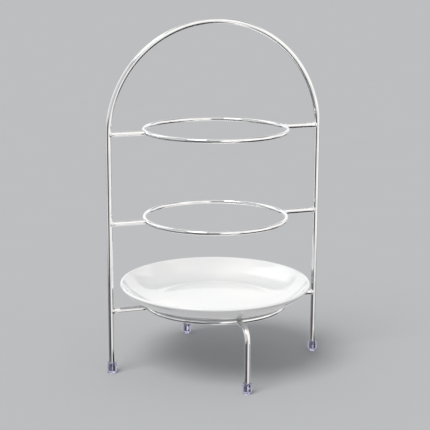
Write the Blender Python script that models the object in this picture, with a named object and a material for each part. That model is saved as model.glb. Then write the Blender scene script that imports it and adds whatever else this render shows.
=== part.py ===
"""Tiered cake stand: a chromed rod frame with three rings, and a plate on the bottom ring.

Metres, +Z up. The origin is on the ground, in the middle of the four feet. +X runs from
one upright to the other, and -Y points to the front leg.
"""

import math

import bmesh
import bpy
from mathutils import Vector

MM = 0.001
GAP = 0.3 * MM  # left between two pieces that touch or are welded
MERGE = 0.001 * MM  # points nearer than this are one point

# The frame rod: both uprights and the arch are one bent rod, and the legs are the same rod.
ROD_R = 3.0 * MM
SPAN = 237.0 * MM  # between the centre lines of the uprights
ARCH_TOP = 377.5 * MM  # centre line at the crown
ARCH_R = SPAN / 2
SPRING_Z = ARCH_TOP - ARCH_R  # where the straight uprights turn into the arch
ROD_SIDES = 12
ARCH_STEPS = 40

# The tiers: a wire ring at each height, held by a straight rod at its left and its right.
RING_R = 77.5 * MM  # centre line of the wire
WIRE_R = 2.5 * MM
BOTTOM_TIER_Z = 70.0 * MM
TIER_STEP = 96.0 * MM
TIERS = ("bottom", "middle", "top")
RING_STEPS = 56
WIRE_SIDES = 12

# The front and back legs: out from the bottom ring, then a bend and down to the ground.
LEG_REACH = 105.0 * MM  # from the middle of the stand to the leg's centre line
LEG_BEND_R = 16.0 * MM
LEG_BEND_STEPS = 8

# The foot caps: clear plastic cups pushed over the four rod ends.
CAP_H = 11.5 * MM
CAP_BASE_R = 4.8 * MM
CAP_BASE_EDGE = 0.9 * MM  # rounding between the base and the side
CAP_BELLY_R = 5.6 * MM  # widest, at CAP_BELLY_Z
CAP_BELLY_Z = 7.8 * MM
CAP_LIP_R = 4.3 * MM  # crest of the lip
CAP_LIP_DEPTH = 0.9 * MM  # from the crest down to the bore's edge
CAP_BORE_R = ROD_R + GAP
CAP_FLOOR = 2.2 * MM
CAP_SEGMENTS = 20
CAP_EDGE_STEPS = 3
CAP_SHOULDER_STEPS = 4
CAP_LIP_STEPS = 2
ROD_END_Z = CAP_FLOOR + GAP

# The plate: a flat middle and a wall of one thickness that curves up to a round edge.
PLATE_R = 105.0 * MM
PLATE_T = 3.6 * MM
PLATE_FLAT_R = 60.0 * MM
PLATE_WALL_R = 58.0 * MM  # bend of the wall, at the middle of its thickness
PLATE_SEGMENTS = 72
PLATE_WALL_STEPS = 7
PLATE_EDGE_STEPS = 6
FOOT_RING_INNER_R = 60.5 * MM
FOOT_RING_OUTER_R = 64.5 * MM
FOOT_RING_DROP = 1.8 * MM  # below the flat underside
FOOT_RING_EDGE = 0.7 * MM  # chamfer of its two lower corners

# Height of the wall's centre of bend above the ring, so that the wall rests on the wire.
WALL_TO_WIRE = PLATE_WALL_R + PLATE_T / 2 + GAP + WIRE_R
WALL_CENTRE_RISE = math.sqrt(WALL_TO_WIRE**2 - (RING_R - PLATE_FLAT_R) ** 2)

SMOOTH_ANGLE = math.radians(40)
QUARTER = math.pi / 2


def clear_scene():
    for old in list(bpy.data.objects):
        bpy.data.objects.remove(old)


def principled(name, colour, roughness, metallic=0.0, transmission=0.0):
    material = bpy.data.materials.new(name)
    material.use_nodes = True
    shader = material.node_tree.nodes["Principled BSDF"]
    shader.inputs["Base Color"].default_value = (*colour, 1.0)
    shader.inputs["Roughness"].default_value = roughness
    shader.inputs["Metallic"].default_value = metallic
    shader.inputs["Transmission Weight"].default_value = transmission
    return material


def add_object(name, data, material, parent, location=(0.0, 0.0, 0.0)):
    thing = bpy.data.objects.new(name, data)
    data.materials.append(material)
    thing.parent = parent
    thing.location = location
    bpy.context.collection.objects.link(thing)
    return thing


def add_empty(name):
    empty = bpy.data.objects.new(name, None)
    bpy.context.collection.objects.link(empty)
    return empty


def smooth(mesh):
    mesh.shade_smooth()
    mesh.set_sharp_from_angle(angle=SMOOTH_ANGLE)


def arc(centre, radius_u, radius_v, start, end, steps):
    """Points (u, v) along an elliptical arc, both ends included."""
    points = []
    for step in range(steps + 1):
        angle = start + (end - start) * step / steps
        points.append((centre[0] + radius_u * math.cos(angle), centre[1] + radius_v * math.sin(angle)))
    return points


def rod(name, points, material, parent):
    """A solid round rod with flat ends, along a line of points."""
    curve = bpy.data.curves.new(name, "CURVE")
    curve.dimensions = "3D"
    curve.bevel_depth = ROD_R
    curve.bevel_resolution = (ROD_SIDES - 4) // 2  # four sides, and two more for each step
    curve.use_fill_caps = True
    spline = curve.splines.new("POLY")
    spline.points.add(len(points) - 1)
    for spot, point in zip(spline.points, points):
        spot.co = (*point, 1.0)
    spline.use_smooth = True
    return add_object(name, curve, material, parent)


def turned(name, outline, segments, material, parent, location=(0.0, 0.0, 0.0)):
    """A solid of revolution about Z, from an (r, z) outline that starts and ends on the axis."""
    bm = bmesh.new()
    verts = [bm.verts.new((r, 0.0, z)) for r, z in outline]
    edges = [bm.edges.new(pair) for pair in zip(verts, verts[1:])]
    bmesh.ops.spin(
        bm, geom=verts + edges, cent=(0, 0, 0), axis=(0, 0, 1), angle=2 * math.pi, steps=segments,
        use_merge=True,
    )
    bmesh.ops.remove_doubles(bm, verts=bm.verts, dist=MERGE)
    bmesh.ops.recalc_face_normals(bm, faces=bm.faces)
    mesh = bpy.data.meshes.new(name)
    bm.to_mesh(mesh)
    bm.free()
    smooth(mesh)
    return add_object(name, mesh, material, parent, location)


def arch_frame(material, parent):
    """One rod: up from the left foot, over the arch and down to the right foot."""
    bow = arc((0.0, SPRING_Z), ARCH_R, ARCH_R, math.pi, 0.0, ARCH_STEPS)
    line = [(-ARCH_R, ROD_END_Z)] + bow + [(ARCH_R, ROD_END_Z)]
    rod("arch_frame", [(x, 0.0, z) for x, z in line], material, parent)


def tier_ring(name, height, material, parent):
    bpy.ops.mesh.primitive_torus_add(
        major_radius=RING_R, minor_radius=WIRE_R, major_segments=RING_STEPS, minor_segments=WIRE_SIDES,
        location=(0.0, 0.0, height),
    )
    ring = bpy.context.object
    ring.name = name
    ring.parent = parent
    ring.data.shade_smooth()
    ring.data.materials.append(material)


def cross_rod(name, side, height, material, parent):
    """From an upright to the outer side of a ring; side is -1 for left and 1 for right."""
    inner = RING_R + WIRE_R + GAP
    outer = ARCH_R - ROD_R - GAP
    rod(name, [(side * inner, 0.0, height), (side * outer, 0.0, height)], material, parent)


def leg(name, side, material, parent):
    """A bent rod under the bottom ring; side is -1 for the front and 1 for the back."""
    start = (RING_R + WIRE_R + GAP, BOTTOM_TIER_Z)
    centre = (LEG_REACH - LEG_BEND_R, BOTTOM_TIER_Z - LEG_BEND_R)
    bend = arc(centre, LEG_BEND_R, LEG_BEND_R, QUARTER, 0.0, LEG_BEND_STEPS)
    line = [start] + bend + [(LEG_REACH, ROD_END_Z)]
    rod(name, [(0.0, side * reach, z) for reach, z in line], material, parent)


def foot_cap(name, x, y, material, parent):
    """A cup with a rounded base edge, a belly near its mouth and a rounded lip."""
    base_centre = (CAP_BASE_R - CAP_BASE_EDGE, CAP_BASE_EDGE)
    base_edge = arc(base_centre, CAP_BASE_EDGE, CAP_BASE_EDGE, -QUARTER, 0.0, CAP_EDGE_STEPS)
    shoulder_centre = (CAP_LIP_R, CAP_BELLY_Z)
    shoulder = arc(shoulder_centre, CAP_BELLY_R - CAP_LIP_R, CAP_H - CAP_BELLY_Z,
                   0.0, QUARTER, CAP_SHOULDER_STEPS)
    lip_centre = (CAP_LIP_R, CAP_H - CAP_LIP_DEPTH)
    lip = arc(lip_centre, CAP_LIP_R - CAP_BORE_R, CAP_LIP_DEPTH, QUARTER, math.pi, CAP_LIP_STEPS)
    outline = [(0.0, 0.0)] + base_edge + shoulder + lip[1:] + [(CAP_BORE_R, CAP_FLOOR), (0.0, CAP_FLOOR)]
    turned(name, outline, CAP_SEGMENTS, material, parent, (x, y, 0.0))


def serving_plate(material, parent):
    """The plate's own zero height is the centre of the wire ring that it rests on."""
    centre = (PLATE_FLAT_R, WALL_CENTRE_RISE)
    outer_r = PLATE_WALL_R + PLATE_T / 2
    inner_r = PLATE_WALL_R - PLATE_T / 2
    edge_r = PLATE_T / 2
    rise = math.asin((PLATE_R - edge_r - PLATE_FLAT_R) / PLATE_WALL_R)
    foot_meets_wall = math.asin((FOOT_RING_OUTER_R - PLATE_FLAT_R) / outer_r)
    underside = WALL_CENTRE_RISE - outer_r
    upper_side = WALL_CENTRE_RISE - inner_r
    foot_bottom = underside - FOOT_RING_DROP
    edge_centre = (
        PLATE_FLAT_R + PLATE_WALL_R * math.sin(rise),
        WALL_CENTRE_RISE - PLATE_WALL_R * math.cos(rise),
    )
    foot_ring = [
        (FOOT_RING_INNER_R, underside),
        (FOOT_RING_INNER_R, foot_bottom + FOOT_RING_EDGE),
        (FOOT_RING_INNER_R + FOOT_RING_EDGE, foot_bottom),
        (FOOT_RING_OUTER_R - FOOT_RING_EDGE, foot_bottom),
        (FOOT_RING_OUTER_R, foot_bottom + FOOT_RING_EDGE),
    ]
    outer_wall = arc(centre, outer_r, outer_r, foot_meets_wall - QUARTER, rise - QUARTER, PLATE_WALL_STEPS)
    edge = arc(edge_centre, edge_r, edge_r, rise - QUARTER, rise + QUARTER, PLATE_EDGE_STEPS)
    inner_wall = arc(centre, inner_r, inner_r, rise - QUARTER, -QUARTER, PLATE_WALL_STEPS)
    outline = [(0.0, underside)] + foot_ring + outer_wall + edge[1:-1] + inner_wall + [(0.0, upper_side)]
    turned("serving_plate", outline, PLATE_SEGMENTS, material, parent, (0.0, 0.0, BOTTOM_TIER_Z))


def main():
    clear_scene()
    chrome = principled("chrome", (0.86, 0.87, 0.88), 0.06, metallic=1.0)
    clear_plastic = principled("clear_plastic", (0.84, 0.87, 0.97), 0.05, transmission=0.9)
    porcelain = principled("porcelain", (0.93, 0.93, 0.92), 0.08)
    frame = add_empty("frame")
    loose = add_empty("loose_pieces")

    arch_frame(chrome, frame)
    for index, tier in enumerate(TIERS):
        height = BOTTOM_TIER_Z + index * TIER_STEP
        tier_ring(f"{tier}_ring", height, chrome, frame)
        cross_rod(f"{tier}_rod_left", -1, height, chrome, frame)
        cross_rod(f"{tier}_rod_right", 1, height, chrome, frame)
    leg("front_leg", -1, chrome, frame)
    leg("back_leg", 1, chrome, frame)

    foot_cap("foot_cap_left", -ARCH_R, 0.0, clear_plastic, frame)
    foot_cap("foot_cap_right", ARCH_R, 0.0, clear_plastic, frame)
    foot_cap("foot_cap_front", 0.0, -LEG_REACH, clear_plastic, frame)
    foot_cap("foot_cap_back", 0.0, LEG_REACH, clear_plastic, frame)
    serving_plate(porcelain, loose)


main()
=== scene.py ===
import math

import bpy
import numpy as np
from mathutils import Matrix, Vector


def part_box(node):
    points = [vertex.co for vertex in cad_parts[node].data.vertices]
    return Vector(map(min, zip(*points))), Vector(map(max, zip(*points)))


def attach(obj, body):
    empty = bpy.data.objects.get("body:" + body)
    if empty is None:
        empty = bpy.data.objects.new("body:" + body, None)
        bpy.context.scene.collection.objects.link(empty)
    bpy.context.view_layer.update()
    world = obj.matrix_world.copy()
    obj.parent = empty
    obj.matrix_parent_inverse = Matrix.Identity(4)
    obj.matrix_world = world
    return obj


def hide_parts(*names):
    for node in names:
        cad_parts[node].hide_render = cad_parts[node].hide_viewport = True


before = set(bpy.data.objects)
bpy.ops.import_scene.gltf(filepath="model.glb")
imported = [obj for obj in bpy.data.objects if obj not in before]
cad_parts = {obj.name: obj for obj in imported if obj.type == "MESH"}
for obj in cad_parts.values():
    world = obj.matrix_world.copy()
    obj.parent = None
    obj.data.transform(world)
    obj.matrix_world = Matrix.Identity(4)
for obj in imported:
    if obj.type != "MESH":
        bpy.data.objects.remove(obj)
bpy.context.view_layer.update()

MM = 0.001
TAU = 2 * math.pi
QUARTER = math.pi / 2

STAND = "stand"
PLATE = "plate"

# ---------------------------------------------------------------- sizes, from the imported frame


def centre_of(node):
    low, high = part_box(node)
    return (low + high) / 2


ROD_LOW, ROD_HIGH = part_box("top_rod_right")
ROD_R = (ROD_HIGH.z - ROD_LOW.z) / 2
RING_LOW, RING_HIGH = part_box("top_ring")
WIRE_R = (RING_HIGH.z - RING_LOW.z) / 2
RING_R = (RING_HIGH.x - RING_LOW.x) / 2 - WIRE_R  # centre line of the wire
TIERS = {tier: centre_of(f"{tier}_ring").z for tier in ("bottom", "middle", "top")}
ARCH_R = centre_of("foot_cap_right").x
ARCH_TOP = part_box("arch_frame")[1].z - ROD_R  # centre line at the crown
SPRING_Z = ARCH_TOP - ARCH_R  # where the straight uprights turn into the arch
LEG_REACH = centre_of("foot_cap_back").y
ROD_END_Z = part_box("arch_frame")[0].z
CAP_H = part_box("foot_cap_left")[1].z
CAP_BELLY_R = (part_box("foot_cap_left")[1].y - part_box("foot_cap_left")[0].y) / 2
PLATE_LOW, PLATE_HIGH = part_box("serving_plate")
PLATE_R = PLATE_HIGH.x
ROD_FACE_X = ROD_LOW.x  # end face of a rod that meets a ring
GAP = ROD_FACE_X - (RING_R + WIRE_R)  # left between two CAD pieces that are welded

# Sizes that the frame's boxes don't give: the CAD model's own where it has them, and finer ones.
LEG_BEND_R = 16.0 * MM
ROD_END_ROUND = 0.45 * MM  # rounding of a rod's end edges

CAP_BASE_R = 4.8 * MM
CAP_BASE_EDGE = 0.9 * MM  # rounding between the base and the side
CAP_BELLY_Z = 7.8 * MM  # where the cap is widest
CAP_LIP_R = 4.3 * MM  # crest of the lip
CAP_LIP_DEPTH = 0.9 * MM  # from the crest down to the bore's edge
CAP_GRIP = 0.02 * MM  # how far the bore and its seat close on the rod, so that no air shows between
CAP_BORE_R = ROD_R - CAP_GRIP
CAP_FLOOR = ROD_END_Z + CAP_GRIP
CAP_SEAT_EDGE = 0.5 * MM  # rounding at the bottom of the bore

PLATE_T = 3.6 * MM
PLATE_FLAT_R = 60.0 * MM
PLATE_WALL_R = 58.0 * MM  # bend of the wall, at the middle of its thickness
FOOT_RING_INNER_R = 60.5 * MM
FOOT_RING_OUTER_R = 64.5 * MM
FOOT_RING_DROP = 1.8 * MM  # below the flat underside
FOOT_RING_ROUND = 0.7 * MM  # rounding of its two lower corners
FOOT_RING_FILLET = 0.4 * MM  # where it runs into the plate
BARE_EDGE_H = 0.45 * FOOT_RING_ROUND  # height of its unglazed edge

# Weld beads. In a pair named REACH, RISE or SET_BACK, the first number holds at the rod's sides and the
# second is added at its top and bottom. Any other pair is (x, rho): along the rod's axis, and out from it.
BEAD_HOLLOW = 0.78  # how far its curve is drawn towards the corner
BEAD_UNEVENNESS = 0.08
UPRIGHT_BEAD_REACH = (0.5 * MM, 1.1 * MM)  # along the rod
UPRIGHT_BEAD_RISE = (0.03 * MM, 1.15 * MM)  # along the upright
UPRIGHT_BEAD_RISE_POWER = 1.5  # how late it rises on the way round from the rod's side
UPRIGHT_BEAD_LIFT = 0.02 * MM  # its edge, proud of the rod
UPRIGHT_BEAD_ROOT = 0.4 * MM  # its hidden edge, deep in the upright
UPRIGHT_BEAD_TAIL = 0.2 * MM  # its hidden edge, further back in the rod
UPRIGHT_BEAD_CORE = (ARCH_R - 0.4 * ROD_R, 0.5 * ROD_R)  # its hidden corner
WIRE_BEAD_SET_BACK = (0.1 * MM, 0.75 * MM)  # its edge on the ring, in from the rod's surface
WIRE_BEAD_START = (0.12 * MM, -0.30 * MM)  # its edge on the rod, from the end face and the surface
WIRE_BEAD_DIP = 0.2 * MM  # how much nearer the axis its corner is taken
WIRE_BEAD_PROUD = 0.1 * MM  # its corner, out from the ring
WIRE_BEAD_ROOT = (-0.4 * MM, -0.5 * MM)  # its hidden edge, deep in the ring
WIRE_BEAD_CORE = ((-0.8 * MM, 0.3 * ROD_R), (0.6 * MM, 0.3 * ROD_R))  # hidden corners, from the end face

# How finely the pieces are meshed.
ROD_SIDES = 36
ROD_END_STEPS = 4
ARCH_STEPS = 144
STRAIGHT_STEPS = 8
BEND_STEPS = 28
RING_STEPS = 168
BEAD_STEPS = 48
BEAD_CURVE_POINTS = 9
CAP_SEGMENTS = 56
CAP_EDGE_STEPS = 8
CAP_SIDE_STEPS = 8
CAP_SHOULDER_STEPS = 14
CAP_LIP_STEPS = 8
CAP_BORE_STEPS = 6
CAP_SEAT_STEPS = 4
PLATE_SEGMENTS = 192
PLATE_FLAT_STEPS = 8
PLATE_FILLET_STEPS = 4
PLATE_ROUND_STEPS = 6
PLATE_UNDER_STEPS = 30
PLATE_RIM_STEPS = 16
PLATE_UPPER_STEPS = 34

# The floor, and the two lights that fall on it: an even sky, and the key, a sun as soft as a large lamp.
FLOOR_HALF = 12.0
FLOOR_DROP = 0.05 * MM
SKY_COLOUR = (0.885, 0.90, 0.925)
SKY_STRENGTH = 0.68
KEY_COLOUR = (1.0, 0.985, 0.96)
KEY_FROM = (-0.55, -0.35, 1.0)
KEY_SPREAD = 32.0  # degrees
KEY_STRENGTH = 1.8

# What reflections see. A card has bearings round Z from +X, elevations, a tone and a blur, with angles in
# degrees. The camera's bearing is -109. A later card covers an earlier one. DOWN and UP lie past the poles,
# so that a card's blurred edge doesn't show there.
ROOM_TONE = (0.42, 0.42, 0.43)
WHITE, BLACK = (1.15, 1.14, 1.11), (0.015, 0.015, 0.018)
DOWN, UP = -200, 200
STUDIO_CARDS = (
    ((71, 205), (DOWN, -1), (0.70, 0.695, 0.68), 6),  # pale ground, behind and to the left
    ((-121, -12), (DOWN, 60), WHITE, 5),  # the large white card, front right
    ((-12, 71), (DOWN, -1), (0.34, 0.325, 0.31), 5),  # dark ground on the right
    ((10, 126), (DOWN, 8), (0.60, 0.60, 0.61), 6),  # grey ground behind
    ((150, 262), (2, 42), (0.72, 0.72, 0.72), 8),  # light wall on the left
    ((-86, -64), (-26, 6), (0.78, 0.78, 0.77), 6),  # a duller patch of the white card
    ((-156, -124), (-26, 1), BLACK, 5),  # black strip left of the camera: the rods' dark line
    ((-124, -101), (-30, 40), (0.33, 0.33, 0.335), 5),  # grey strip round the camera
    ((126, 205), (DOWN, -15), (0.16, 0.16, 0.17), 3),  # the dark table, back left
    ((-50, -8), (DOWN, -15), (0.42, 0.41, 0.40), 4),  # the table on the right, in the light
    ((27, 36), (-60, -3), BLACK, 4),  # two thin dark lines behind
    ((103, 114), (-60, 0), BLACK, 4),
    ((-150, -78), (-62, -28), (0.10, 0.10, 0.11), 6),  # the dark table in front
    ((-67, 20), (-70, -22), (0.03, 0.03, 0.034), 3),  # its darkest part, front right
    ((108, 154), (-2, 46), (1.1, 1.1, 1.12), 8),  # white card, back left
    ((-16, 34), (-5, 44), (1.05, 1.04, 1.02), 6),  # white card on the right
    ((36, 98), (34, 62), (0.42, 0.42, 0.43), 7),  # dim wall high up behind
    ((35, 110), (7, 25), (1.1, 1.1, 1.1), 4),  # low white card behind
    ((-180, 180), (62, UP), (0.75, 0.75, 0.74), 10),  # light ceiling
    ((98, 140), (32, 66), (1.5, 1.5, 1.48), 9),  # brighter card high up, back left
    ((-165, -130), (46, 68), (5.0, 5.0, 4.95), 6),  # the key itself, high up, front left
)
SURROUND_R = 30.0
SURROUND_ROWS = 181
SURROUND_COLUMNS = 360

# What the camera sees past the floor: the tone that the lit floor has in a render, so that no edge shows.
BACKDROP_TONE = (0.510, 0.515, 0.525)
BACKDROP_R = 11.0
BACKDROP_ROWS = 19
BACKDROP_COLUMNS = 36

# The camera stands where the photographer's stood: in front of the stand, a little left, above its handle.
# Its angles are in degrees: from +Y towards +X, up from level, and about its own line of sight.
SENSOR_WIDTH = 36.0
LENS = 100.15
CAMERA_PLACE = (-0.4107, -1.2052, 0.4590)
CAMERA_YAW, CAMERA_PITCH, CAMERA_ROLL = 18.80, -12.88, 0.225

# ---------------------------------------------------------------- meshes


def grid_object(name, rows, wrap_rows=False, pole_start=None, pole_end=None):
    """A smooth surface through rings of points, closed at its poles or, with wrap_rows, back on itself.

    Its UV map holds the metres along it and the share of a turn around it.
    """
    rows = np.array(rows, float)
    n_rows, n_columns = rows.shape[:2]
    verts = rows.reshape(-1, 3).tolist()
    steps = np.linalg.norm(rows - np.roll(rows, 1, axis=0), axis=2).mean(axis=1)
    along = np.concatenate([[0.0], np.cumsum(steps[1:])])
    closing = along[-1] + steps[0]
    around = np.linspace(0.0, 1.0, n_columns + 1)
    faces, coords = [], []
    for i in range(n_rows if wrap_rows else n_rows - 1):
        k = (i + 1) % n_rows
        here, there = along[i], along[k] if k else closing
        for j in range(n_columns):
            m = (j + 1) % n_columns
            faces.append((i * n_columns + j, i * n_columns + m, k * n_columns + m, k * n_columns + j))
            left, right = around[j], around[j + 1]
            coords += [(here, left), (here, right), (there, right), (there, left)]
    for pole, row, flip in ((pole_start, 0, True), (pole_end, n_rows - 1, False)):
        if pole is None:
            continue
        tip = len(verts)
        verts.append(tuple(pole))
        for j in range(n_columns):
            m = (j + 1) % n_columns
            pair = [(row * n_columns + j, around[j]), (row * n_columns + m, around[j + 1])]
            if flip:
                pair.reverse()
            faces.append((pair[0][0], pair[1][0], tip))
            coords += [(along[row], pair[0][1]), (along[row], pair[1][1]), (along[row], around[j])]
    mesh = bpy.data.meshes.new(name)
    mesh.from_pydata(verts, [], faces)
    mesh.uv_layers.new(name="along_around").data.foreach_set("uv", np.array(coords, float).ravel())
    mesh.shade_smooth()
    thing = bpy.data.objects.new(name, mesh)
    bpy.context.scene.collection.objects.link(thing)
    turn_faces_out(mesh)
    return thing


def turn_faces_out(mesh):
    """Flips a closed mesh whose volume comes out negative."""
    mesh.calc_loop_triangles()
    corners = np.zeros(len(mesh.loop_triangles) * 3, np.int32)
    mesh.loop_triangles.foreach_get("vertices", corners)
    spots = np.zeros(len(mesh.vertices) * 3)
    mesh.vertices.foreach_get("co", spots)
    a, b, c = np.moveaxis(spots.reshape(-1, 3)[corners.reshape(-1, 3)], 1, 0)
    if np.einsum("ij,ij->i", a, np.cross(b, c)).sum() < 0:
        mesh.flip_normals()


def arc(centre, radius_u, radius_v, start, end, steps):
    """Points (u, v) along an elliptical arc, both ends included."""
    angles = np.linspace(start, end, steps + 1)
    return [(centre[0] + radius_u * math.cos(a), centre[1] + radius_v * math.sin(a)) for a in angles]


def rod_object(name, path, normal, radius, closed=False):
    """A round bar along a path that lies in one plane, with rounded end edges where it is open."""
    path = [Vector(p) for p in path]
    normal = Vector(normal)
    count = len(path)
    stations = []
    for i, point in enumerate(path):
        before = path[i - 1] if closed or i > 0 else point
        after = path[(i + 1) % count] if closed or i < count - 1 else point
        stations.append((point, (after - before).normalized(), radius))
    if not closed:
        first, last = stations[0], stations[-1]
        turns = np.linspace(0.0, QUARTER, ROD_END_STEPS + 1)
        drops = [(ROD_END_ROUND * (1 - math.sin(t)), radius - ROD_END_ROUND * (1 - math.cos(t)))
                 for t in turns]
        head = [(first[0] + first[1] * back, first[1], r) for back, r in reversed(drops)]
        tail = [(last[0] - last[1] * back, last[1], r) for back, r in drops]
        stations = head + stations[1:-1] + tail
    angles = np.linspace(0.0, TAU, ROD_SIDES, endpoint=False)
    rows = []
    for point, tangent, r in stations:
        side = tangent.cross(normal).normalized()
        rows.append([point + (side * math.cos(a) + normal * math.sin(a)) * r for a in angles])
    poles = (None, None) if closed else (stations[0][0], stations[-1][0])
    return grid_object(name, rows, wrap_rows=closed, pole_start=poles[0], pole_end=poles[1])


def turned_object(name, outline, segments, x=0.0, y=0.0):
    """A solid turned about the vertical axis at x, y, from an (r, z) outline whose ends lie on it."""
    angles = np.linspace(0.0, TAU, segments, endpoint=False)
    rows = [[(x + r * math.cos(a), y + r * math.sin(a), z) for a in angles] for r, z in outline[1:-1]]
    first, last = ((x, y, z) for _, z in (outline[0], outline[-1]))
    return grid_object(name, rows, pole_start=first, pole_end=last)


# ---------------------------------------------------------------- the frame's rods and rings


def arch_path():
    """Up the left upright, over the handle and down the right upright."""
    bow = arc((0.0, SPRING_Z), ARCH_R, ARCH_R, math.pi, 0.0, ARCH_STEPS)
    heights = [ROD_END_Z + (SPRING_Z - ROD_END_Z) * k / STRAIGHT_STEPS for k in range(STRAIGHT_STEPS)]
    left = [(-ARCH_R, 0.0, z) for z in heights]
    right = [(ARCH_R, 0.0, z) for z in reversed(heights)]
    return left + [(x, 0.0, z) for x, z in bow] + right


def leg_path(side):
    """Side is -1 for the front leg and 1 for the back leg."""
    start = (ROD_FACE_X, TIERS["bottom"])
    centre = (LEG_REACH - LEG_BEND_R, TIERS["bottom"] - LEG_BEND_R)
    bend = arc(centre, LEG_BEND_R, LEG_BEND_R, QUARTER, 0.0, BEND_STEPS)
    down = [(LEG_REACH, centre[1] + (ROD_END_Z - centre[1]) * k / STRAIGHT_STEPS)
            for k in range(1, STRAIGHT_STEPS + 1)]
    return [(0.0, side * reach, z) for reach, z in [start] + bend + down]


def ring_path(height):
    angles = np.linspace(0.0, TAU, RING_STEPS, endpoint=False)
    return [(RING_R * math.cos(a), RING_R * math.sin(a), height) for a in angles]


def cross_rod_path(side, height):
    """Side is -1 for the left and 1 for the right."""
    outer = ARCH_R - ROD_R - GAP
    return [(side * (ROD_FACE_X + (outer - ROD_FACE_X) * k / STRAIGHT_STEPS), 0.0, height)
            for k in range(STRAIGHT_STEPS + 1)]


# ---------------------------------------------------------------- welds


def upright_x(rho, theta):
    """Where the upright's near side is on the line at (rho, theta) round a cross rod's axis."""
    across = min(abs(rho * math.cos(theta)), ROD_R)
    return ARCH_R - math.sqrt(ROD_R**2 - across**2)


def wire_x(rho, theta):
    """Where the ring's outer side is on the line at (rho, theta) round the axis of a rod that meets it.

    Theta is measured from level: at a quarter turn the line is above the axis.
    """
    up = min(abs(rho * math.sin(theta)), WIRE_R)
    across = rho * math.cos(theta)
    return math.sqrt((RING_R + math.sqrt(WIRE_R**2 - up**2)) ** 2 - across**2)


def unevenness(theta, seed):
    """A weld is never even all round: a few waves, set by the seed, of up to about one part in six."""
    waves = sum(math.sin(k * theta + seed * (1.7 * k + 0.6)) / k for k in (1, 2, 3, 5))
    return 1.0 + BEAD_UNEVENNESS * waves


def bead_section(start, corner, end, inside):
    """A closed (x, rho) outline: a curve from start to end, drawn to the corner, and back inside."""
    middle = [BEAD_HOLLOW * c + (1 - BEAD_HOLLOW) / 2 * (a + b) for a, b, c in zip(start, end, corner)]
    hollow = [
        [(1 - t) ** 2 * a + 2 * t * (1 - t) * b + t**2 * c for a, b, c in zip(start, middle, end)]
        for t in np.linspace(0.0, 1.0, BEAD_CURVE_POINTS)
    ]
    return hollow + inside


def weld_object(name, section_at, turn, height):
    """A closed bead round a rod's end; turn is the rod's direction about Z, from +X."""
    rows = []
    for theta in np.linspace(0.0, TAU, BEAD_STEPS, endpoint=False):
        rows.append([
            (x * math.cos(turn) - rho * math.cos(theta) * math.sin(turn),
             x * math.sin(turn) + rho * math.cos(theta) * math.cos(turn),
             height + rho * math.sin(theta))
            for x, rho in section_at(theta)
        ])
    return grid_object(name, rows, wrap_rows=True)


def upright_weld(name, turn, height, seed):
    """Fills the corner between a cross rod and the upright that it stands against."""

    def section_at(theta):
        uneven = unevenness(theta, seed)
        upness = abs(math.sin(theta))
        reach = (UPRIGHT_BEAD_REACH[0] + UPRIGHT_BEAD_REACH[1] * upness) * uneven
        rise = (UPRIGHT_BEAD_RISE[0] + UPRIGHT_BEAD_RISE[1] * upness**UPRIGHT_BEAD_RISE_POWER) * uneven
        skin = ROD_R + UPRIGHT_BEAD_LIFT
        start = (ARCH_R - ROD_R - reach, skin)
        end = (upright_x(ROD_R + rise, theta), ROD_R + rise)
        corner = (upright_x(ROD_R, theta), skin)
        inside = [(end[0] + UPRIGHT_BEAD_ROOT, end[1] - UPRIGHT_BEAD_ROOT),
                  UPRIGHT_BEAD_CORE,
                  (start[0] - UPRIGHT_BEAD_TAIL, UPRIGHT_BEAD_CORE[1])]
        return bead_section(start, corner, end, inside)

    return weld_object(name, section_at, turn, height)


def wire_weld(name, turn, height, seed):
    """A small bead, set back in the seam between a rod's flat end and the ring."""

    def section_at(theta):
        uneven = unevenness(theta, seed)
        upness = abs(math.sin(theta))
        start = (ROD_FACE_X + WIRE_BEAD_START[0], ROD_R + WIRE_BEAD_START[1])
        rho = ROD_R - WIRE_BEAD_SET_BACK[0] - WIRE_BEAD_SET_BACK[1] * upness * uneven
        end = (wire_x(rho, theta), rho)
        corner = (wire_x(rho - WIRE_BEAD_DIP, theta) + WIRE_BEAD_PROUD, rho - WIRE_BEAD_PROUD)
        inside = [(end[0] + WIRE_BEAD_ROOT[0], end[1] + WIRE_BEAD_ROOT[1]),
                  *((ROD_FACE_X + x, core_r) for x, core_r in WIRE_BEAD_CORE)]
        return bead_section(start, corner, end, inside)

    return weld_object(name, section_at, turn, height)


# ---------------------------------------------------------------- foot caps and plate


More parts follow.
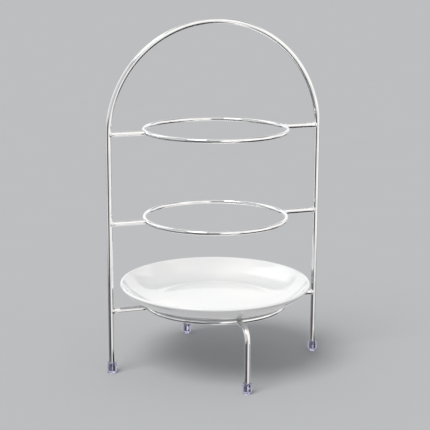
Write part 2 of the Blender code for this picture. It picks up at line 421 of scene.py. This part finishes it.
def cap_outline():
    """From the middle of the base, up the outside, over the lip and down the bore to the rod's seat."""
    lip_z = CAP_H - CAP_LIP_DEPTH
    base_centre = (CAP_BASE_R - CAP_BASE_EDGE, CAP_BASE_EDGE)
    seat_centre = (CAP_BORE_R - CAP_SEAT_EDGE, CAP_FLOOR + CAP_SEAT_EDGE)
    outline = [(0.0, 0.0), (0.5 * CAP_BASE_R, 0.0)]
    outline += arc(base_centre, CAP_BASE_EDGE, CAP_BASE_EDGE, -QUARTER, 0.0, CAP_EDGE_STEPS)
    outline += [(CAP_BASE_R + (CAP_BELLY_R - CAP_BASE_R) * share,
                 CAP_BASE_EDGE + (CAP_BELLY_Z - CAP_BASE_EDGE) * share)
                for share in np.linspace(0.0, 1.0, CAP_SIDE_STEPS + 1)[1:-1]]
    outline += arc((CAP_LIP_R, CAP_BELLY_Z), CAP_BELLY_R - CAP_LIP_R, CAP_H - CAP_BELLY_Z,
                   0.0, QUARTER, CAP_SHOULDER_STEPS)
    outline += arc((CAP_LIP_R, lip_z), CAP_LIP_R - CAP_BORE_R, CAP_LIP_DEPTH,
                   QUARTER, math.pi, CAP_LIP_STEPS)[1:]
    outline += [(CAP_BORE_R, z) for z in np.linspace(lip_z, CAP_FLOOR, CAP_BORE_STEPS + 1)[1:-1]]
    outline += arc(seat_centre, CAP_SEAT_EDGE, CAP_SEAT_EDGE, 0.0, -QUARTER, CAP_SEAT_STEPS)
    return outline + [(0.0, CAP_FLOOR)]


def plate_outline():
    """From the middle of the underside, out over the foot ring, round the rim and back along the top."""
    edge_r = PLATE_T / 2
    outer_r, inner_r = PLATE_WALL_R + edge_r, PLATE_WALL_R - edge_r
    foot_bottom = PLATE_LOW.z
    underside = foot_bottom + FOOT_RING_DROP
    centre = (PLATE_FLAT_R, underside + outer_r)
    upper_side = centre[1] - inner_r
    rise = math.asin((PLATE_R - edge_r - PLATE_FLAT_R) / PLATE_WALL_R)
    meets_foot = math.asin((FOOT_RING_OUTER_R + FOOT_RING_FILLET - PLATE_FLAT_R) / outer_r)
    edge_centre = (PLATE_R - edge_r, centre[1] - PLATE_WALL_R * math.cos(rise))
    round_r, fillet = FOOT_RING_ROUND, FOOT_RING_FILLET
    inner_corner = (FOOT_RING_INNER_R + round_r, foot_bottom + round_r)
    outer_corner = (FOOT_RING_OUTER_R - round_r, foot_bottom + round_r)
    meets_z = centre[1] - outer_r * math.cos(meets_foot)
    inner_fillet = (FOOT_RING_INNER_R - fillet, underside - fillet)
    outer_fillet = (FOOT_RING_OUTER_R + fillet, meets_z - fillet)
    reaches = [PLATE_FLAT_R * k / PLATE_FLAT_STEPS for k in range(PLATE_FLAT_STEPS + 1)]
    outline = [(r, underside) for r in reaches]
    outline += arc(inner_fillet, fillet, fillet, QUARTER, 0.0, PLATE_FILLET_STEPS)
    outline += arc(inner_corner, round_r, round_r, math.pi, 1.5 * math.pi, PLATE_ROUND_STEPS)
    outline += arc(outer_corner, round_r, round_r, -QUARTER, 0.0, PLATE_ROUND_STEPS)
    outline += arc(outer_fillet, fillet, fillet, math.pi, QUARTER, PLATE_FILLET_STEPS)
    outline += arc(centre, outer_r, outer_r, meets_foot - QUARTER, rise - QUARTER, PLATE_UNDER_STEPS)[1:]
    outline += arc(edge_centre, edge_r, edge_r, rise - QUARTER, rise + QUARTER, PLATE_RIM_STEPS)[1:-1]
    outline += arc(centre, inner_r, inner_r, rise - QUARTER, -QUARTER, PLATE_UPPER_STEPS)
    return outline + [(r, upper_side) for r in reversed(reaches[:-1])]


# ---------------------------------------------------------------- materials


class Nodes:
    """Short calls for building a material's node tree."""

    def __init__(self, name):
        self.material = bpy.data.materials.new(name)
        self.material.use_nodes = True
        self.tree = self.material.node_tree
        self.shader = self.tree.nodes["Principled BSDF"]

    def add(self, kind, **settings):
        node = self.tree.nodes.new("ShaderNode" + kind)
        for key, value in settings.items():
            setattr(node, key, value)
        return node

    def link(self, source, target):
        self.tree.links.new(source, target)

    def set(self, **values):
        """Sets the shader's own sockets, named with _ for a space."""
        for key, value in values.items():
            self.shader.inputs[key.replace("_", " ")].default_value = value

    def coordinates(self, kind="Object", scale=(1.0, 1.0, 1.0)):
        """Texture coordinates of a kind (Object or UV), stretched by a scale for each direction."""
        source = self.add("TexCoord")
        mapping = self.add("Mapping")
        mapping.inputs["Scale"].default_value = scale
        self.link(source.outputs[kind], mapping.inputs["Vector"])
        return mapping.outputs["Vector"]

    def noise(self, vector, scale, detail=3.0, roughness=0.5):
        """Smooth noise from 0 to 1, with about scale patches to each unit of the vector."""
        node = self.add("TexNoise")
        node.inputs["Scale"].default_value = scale
        node.inputs["Detail"].default_value = detail
        node.inputs["Roughness"].default_value = roughness
        self.link(vector, node.inputs["Vector"])
        return node.outputs["Fac"]

    def spread(self, value, before, after):
        """Maps a value from one (low, high) range to another, clamped."""
        node = self.add("MapRange")
        for key, number in zip(("From Min", "From Max", "To Min", "To Max"), (*before, *after)):
            node.inputs[key].default_value = number
        self.link(value, node.inputs["Value"])
        return node.outputs["Result"]

    def colour(self, value, *stops):
        """Gives the shader a base colour from a value, through (position, colour) stops."""
        node = self.add("ValToRGB")
        elements = node.color_ramp.elements
        while len(elements) < len(stops):
            elements.new(1.0)
        for element, (position, colour) in zip(elements, stops):
            element.position = position
            element.color = (*colour, 1.0)
        self.link(value, node.inputs["Fac"])
        self.link(node.outputs["Color"], self.shader.inputs["Base Color"])

    def roughness(self, value, before, after):
        """Gives the shader a roughness from a value, spread from one range to another."""
        self.link(self.spread(value, before, after), self.shader.inputs["Roughness"])

    def normal(self, source):
        self.link(source, self.shader.inputs["Normal"])

    def bump(self, height, strength, distance, normal=None):
        """A normal tilted by a height, on top of another bump's normal if one is given."""
        node = self.add("Bump")
        node.inputs["Strength"].default_value = strength
        node.inputs["Distance"].default_value = distance
        self.link(height, node.inputs["Height"])
        if normal is not None:
            self.link(normal, node.inputs["Normal"])
        return node.outputs["Normal"]


def chrome_material(name):
    """Bright plate: slow waviness from drawing and bending the rod, faint draw lines, patches of haze."""
    m = Nodes(name)
    m.set(Metallic=1.0)
    place = m.coordinates()
    haze = m.noise(place, scale=55.0, detail=4.0, roughness=0.55)
    m.colour(haze, (0.30, (0.80, 0.80, 0.81)), (0.55, (0.90, 0.90, 0.905)), (0.80, (0.86, 0.85, 0.83)))
    fine = m.noise(place, scale=900.0, detail=2.0, roughness=0.6)
    mixed = m.add("Math", operation="MULTIPLY")
    m.link(haze, mixed.inputs[0])
    m.link(fine, mixed.inputs[1])
    m.roughness(mixed.outputs["Value"], (0.12, 0.42), (0.035, 0.11))
    waves = m.noise(place, scale=140.0, detail=2.0, roughness=0.4)
    waviness = m.bump(waves, strength=0.35, distance=0.06 * MM)
    per_metre, per_turn = 14.0, 60.0
    lines = m.noise(m.coordinates("UV", (per_metre, per_turn, 1.0)), scale=1.0, detail=3.0, roughness=0.6)
    m.normal(m.bump(lines, strength=0.12, distance=0.03 * MM, normal=waviness))
    return m.material


def weld_material():
    """Plated weld metal: duller than the rod, with a fine pitted grain."""
    m = Nodes("chrome_weld")
    m.set(Metallic=1.0)
    place = m.coordinates()
    grain = m.noise(place, scale=1400.0, detail=4.0, roughness=0.6)
    m.colour(grain, (0.35, (0.66, 0.66, 0.67)), (0.60, (0.88, 0.88, 0.88)))
    m.roughness(grain, (0.3, 0.7), (0.08, 0.22))
    m.normal(m.bump(grain, strength=0.6, distance=0.12 * MM))
    return m.material


def clear_plastic_material():
    """Clear moulded plastic with a slight violet tint and a soft flow texture."""
    m = Nodes("clear_plastic")
    m.set(Transmission_Weight=1.0, IOR=1.49)
    place = m.coordinates()
    flow = m.noise(place, scale=240.0)
    m.colour(flow, (0.35, (0.70, 0.70, 0.99)), (0.65, (0.82, 0.82, 1.0)))
    m.roughness(flow, (0.3, 0.7), (0.02, 0.09))
    m.normal(m.bump(flow, strength=0.25, distance=0.2 * MM))
    return m.material


def glaze_material():
    """White glaze: a faint warm and cool drift, tiny pinholes, and the slow ripple of a dipped glaze."""
    m = Nodes("white_glaze")
    m.set(IOR=1.52, Coat_Weight=1.0, Coat_Roughness=0.03, Coat_IOR=1.5)
    place = m.coordinates()
    drift = m.noise(place, scale=16.0)
    m.colour(drift, (0.35, (0.845, 0.85, 0.85)), (0.65, (0.88, 0.875, 0.862)))
    m.roughness(drift, (0.3, 0.7), (0.07, 0.13))
    swells = m.noise(place, scale=70.0, detail=2.0, roughness=0.4)
    ripple = m.bump(swells, strength=0.25, distance=0.25 * MM)
    pits = m.add("TexVoronoi")
    pits.inputs["Scale"].default_value = 260.0
    m.link(place, pits.inputs["Vector"])
    holes = m.spread(pits.outputs["Distance"], (0.0, 0.09), (0.0, 1.0))
    m.normal(m.bump(holes, strength=0.12, distance=0.04 * MM, normal=ripple))
    return m.material


def bisque_material():
    """The foot ring's bare lower edge: unglazed, matt and slightly grey."""
    m = Nodes("bare_porcelain")
    place = m.coordinates()
    grain = m.noise(place, scale=900.0, detail=5.0, roughness=0.65)
    m.colour(grain, (0.3, (0.70, 0.69, 0.665)), (0.7, (0.83, 0.82, 0.80)))
    m.roughness(grain, (0.3, 0.7), (0.55, 0.85))
    m.normal(m.bump(grain, strength=0.5, distance=0.1 * MM))
    return m.material


def floor_material():
    """A matt pale grey floor with a hardly visible drift; it has no gloss, so its tone is even."""
    m = Nodes("pale_floor")
    place = m.coordinates()
    drift = m.noise(place, scale=9.0)
    m.colour(drift, (0.3, (0.469, 0.4725, 0.4795)), (0.7, (0.474, 0.477, 0.484)))
    m.set(Roughness=0.8, Specular_IOR_Level=0.0)
    return m.material


# ---------------------------------------------------------------- the pieces


def finish_piece(thing, material, slot, body, *nodes):
    """Gives a piece its material and body, and hides the CAD nodes that it stands for; a weld has none. Its
    slot is not used.
    """
    thing.data.materials.append(material)
    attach(thing, body)
    if nodes:
        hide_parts(*nodes)


def make_frame():
    """The rods, the rings and their welds. A weld's seed only has to differ from its neighbours'."""
    rod_chrome = chrome_material("chrome_rod")
    wire_chrome = chrome_material("chrome_wire")
    weld = weld_material()
    finish_piece(rod_object("arch_and_uprights", arch_path(), (0, 1, 0), ROD_R),
                 rod_chrome, "chrome_rod", STAND, "arch_frame")
    for side, name in ((-1, "front_leg"), (1, "back_leg")):
        finish_piece(rod_object(f"{name}_rod", leg_path(side), (1, 0, 0), ROD_R),
                     rod_chrome, "chrome_rod", STAND, name)
        finish_piece(wire_weld(f"{name}_weld", side * QUARTER, TIERS["bottom"], seed=3.1 * side),
                     weld, "chrome_rod", STAND)
    for tier, height in TIERS.items():
        ring = rod_object(f"{tier}_wire_ring", ring_path(height), (0, 0, 1), WIRE_R, closed=True)
        finish_piece(ring, wire_chrome, "chrome_wire", STAND, f"{tier}_ring")
        for side, hand in ((-1, "left"), (1, "right")):
            rod = rod_object(f"{tier}_cross_rod_{hand}", cross_rod_path(side, height), (0, 1, 0), ROD_R)
            finish_piece(rod, rod_chrome, "chrome_rod", STAND, f"{tier}_rod_{hand}")
            turn = 0.0 if side > 0 else math.pi
            seed = 40 * height + side
            finish_piece(upright_weld(f"{tier}_upright_weld_{hand}", turn, height, seed),
                         weld, "chrome_rod", STAND)
            finish_piece(wire_weld(f"{tier}_wire_weld_{hand}", turn, height, seed + 2),
                         weld, "chrome_wire", STAND)


def make_caps():
    """One cap on each of the four feet."""
    plastic = clear_plastic_material()
    places = {"left": (-ARCH_R, 0.0), "right": (ARCH_R, 0.0),
              "front": (0.0, -LEG_REACH), "back": (0.0, LEG_REACH)}
    for where, (x, y) in places.items():
        cap = turned_object(f"clear_cap_{where}", cap_outline(), CAP_SEGMENTS, x, y)
        finish_piece(cap, plastic, "clear_plastic", STAND, f"foot_cap_{where}")


def make_plate():
    """The glazed plate, bare along the bottom of its foot ring, where the glaze is wiped off."""
    plate = turned_object("coupe_plate", plate_outline(), PLATE_SEGMENTS)
    finish_piece(plate, glaze_material(), "glazed_porcelain", PLATE, "serving_plate")
    plate.data.materials.append(bisque_material())
    bare_below = PLATE_LOW.z + BARE_EDGE_H
    for face in plate.data.polygons:
        if face.center.z < bare_below:
            face.material_index = 1


# ---------------------------------------------------------------- floor, light and camera


def make_floor():
    """The floor; reflections and refractions see the studio's cards in its place."""
    rows = [[(x, y, -FLOOR_DROP) for x in (-FLOOR_HALF, FLOOR_HALF)] for y in (-FLOOR_HALF, FLOOR_HALF)]
    mesh = bpy.data.meshes.new("floor")
    mesh.from_pydata([p for row in rows for p in row], [], [(0, 1, 3, 2)])
    floor = bpy.data.objects.new("floor", mesh)
    bpy.context.scene.collection.objects.link(floor)
    mesh.materials.append(floor_material())
    floor.visible_glossy = floor.visible_transmission = False


def surround_tones(bearings, elevations):
    """What a reflection meets in each direction: the studio's cards, painted over a mid grey room."""
    tones = np.ones((len(bearings), 4))
    tones[:, :3] = ROOM_TONE
    for (left, right), (low, high), card_tone, blur in STUDIO_CARDS:
        off = np.abs((bearings - (left + right) / 2 + 180) % 360 - 180)
        depth = np.minimum((right - left) / 2 - off, np.minimum(elevations - low, high - elevations))
        share = np.clip(depth / blur + 0.5, 0.0, 1.0)[:, None]
        share = share * share * (3 - 2 * share)
        tones[:, :3] += (np.array(card_tone) - tones[:, :3]) * share
    return tones


def make_ball(name, radius, rows, columns, tones_of):
    """A glowing ball round the whole scene, which lights no matt surface and casts no shadow."""
    elevations, bearings = np.meshgrid(np.linspace(-90, 90, rows),
                                       np.linspace(-180, 180, columns, endpoint=False), indexing="ij")
    elevations, bearings = elevations.ravel(), bearings.ravel()
    e, b = np.radians(elevations), np.radians(bearings)
    spots = radius * np.stack([np.cos(b) * np.cos(e), np.sin(b) * np.cos(e), np.sin(e)], axis=1)
    faces = [(i * columns + j, i * columns + (j + 1) % columns,
              (i + 1) * columns + (j + 1) % columns, (i + 1) * columns + j)
             for i in range(rows - 1) for j in range(columns)]
    mesh = bpy.data.meshes.new(name)
    mesh.from_pydata(spots.tolist(), [], faces)
    colours = tones_of(bearings, elevations)
    mesh.color_attributes.new("tone", "FLOAT_COLOR", "POINT").data.foreach_set("color", colours.ravel())
    material = bpy.data.materials.new(name)
    material.use_nodes = True
    material.cycles.emission_sampling = "NONE"
    tree = material.node_tree
    tree.nodes.clear()
    out = tree.nodes.new("ShaderNodeOutputMaterial")
    light = tree.nodes.new("ShaderNodeEmission")
    tone = tree.nodes.new("ShaderNodeAttribute")
    tone.attribute_name = "tone"
    tree.links.new(tone.outputs["Color"], light.inputs["Color"])
    tree.links.new(light.outputs["Emission"], out.inputs["Surface"])
    mesh.materials.append(material)
    ball = bpy.data.objects.new(name, mesh)
    bpy.context.scene.collection.objects.link(ball)
    ball.visible_diffuse = ball.visible_shadow = False
    return ball


def make_surround():
    """What only reflections and refractions see: a studio's cards."""
    ball = make_ball("surround", SURROUND_R, SURROUND_ROWS, SURROUND_COLUMNS, surround_tones)
    ball.visible_camera = False


def backdrop_tones(bearings, elevations):
    """The same tone in every direction."""
    return np.tile((*BACKDROP_TONE, 1.0), (len(bearings), 1))


def make_backdrop():
    """What the camera sees beyond the floor, in its tone; it crosses the floor just inside the edge."""
    ball = make_ball("backdrop", BACKDROP_R, BACKDROP_ROWS, BACKDROP_COLUMNS, backdrop_tones)
    ball.visible_glossy = ball.visible_transmission = False


def make_light():
    """The even sky and the soft sun; neither shows as a shape in a reflection."""
    world = bpy.data.worlds.new("studio")
    bpy.context.scene.world = world
    world.use_nodes = True
    background = world.node_tree.nodes["Background"]
    background.inputs["Color"].default_value = (*SKY_COLOUR, 1.0)
    background.inputs["Strength"].default_value = SKY_STRENGTH
    sun = bpy.data.lights.new("window", "SUN")
    sun.energy = KEY_STRENGTH
    sun.angle = math.radians(KEY_SPREAD)
    sun.color = KEY_COLOUR
    key = bpy.data.objects.new("window", sun)
    key.rotation_mode = "QUATERNION"
    key.rotation_quaternion = (-Vector(KEY_FROM)).to_track_quat("-Z", "Y")
    key.visible_glossy = False
    bpy.context.scene.collection.objects.link(key)


def make_camera():
    data = bpy.data.cameras.new("camera")
    data.sensor_width = SENSOR_WIDTH
    data.lens = LENS
    camera = bpy.data.objects.new("camera", data)
    camera.location = CAMERA_PLACE
    yaw, pitch, roll = (math.radians(a) for a in (CAMERA_YAW, CAMERA_PITCH, CAMERA_ROLL))
    ahead = Vector((math.sin(yaw) * math.cos(pitch), math.cos(yaw) * math.cos(pitch), math.sin(pitch)))
    level = Vector((math.cos(yaw), -math.sin(yaw), 0.0))
    upward = level.cross(ahead)
    right = level * math.cos(roll) + upward * math.sin(roll)
    up = upward * math.cos(roll) - level * math.sin(roll)
    turn = Matrix((right, up, -ahead)).transposed()
    camera.rotation_mode = "QUATERNION"
    camera.rotation_quaternion = turn.to_quaternion()
    bpy.context.scene.collection.objects.link(camera)
    bpy.context.scene.camera = camera


make_camera()
make_frame()
make_caps()
make_plate()
make_floor()
make_light()
make_surround()
make_backdrop()
bpy.context.scene.view_settings.view_transform = "Standard"
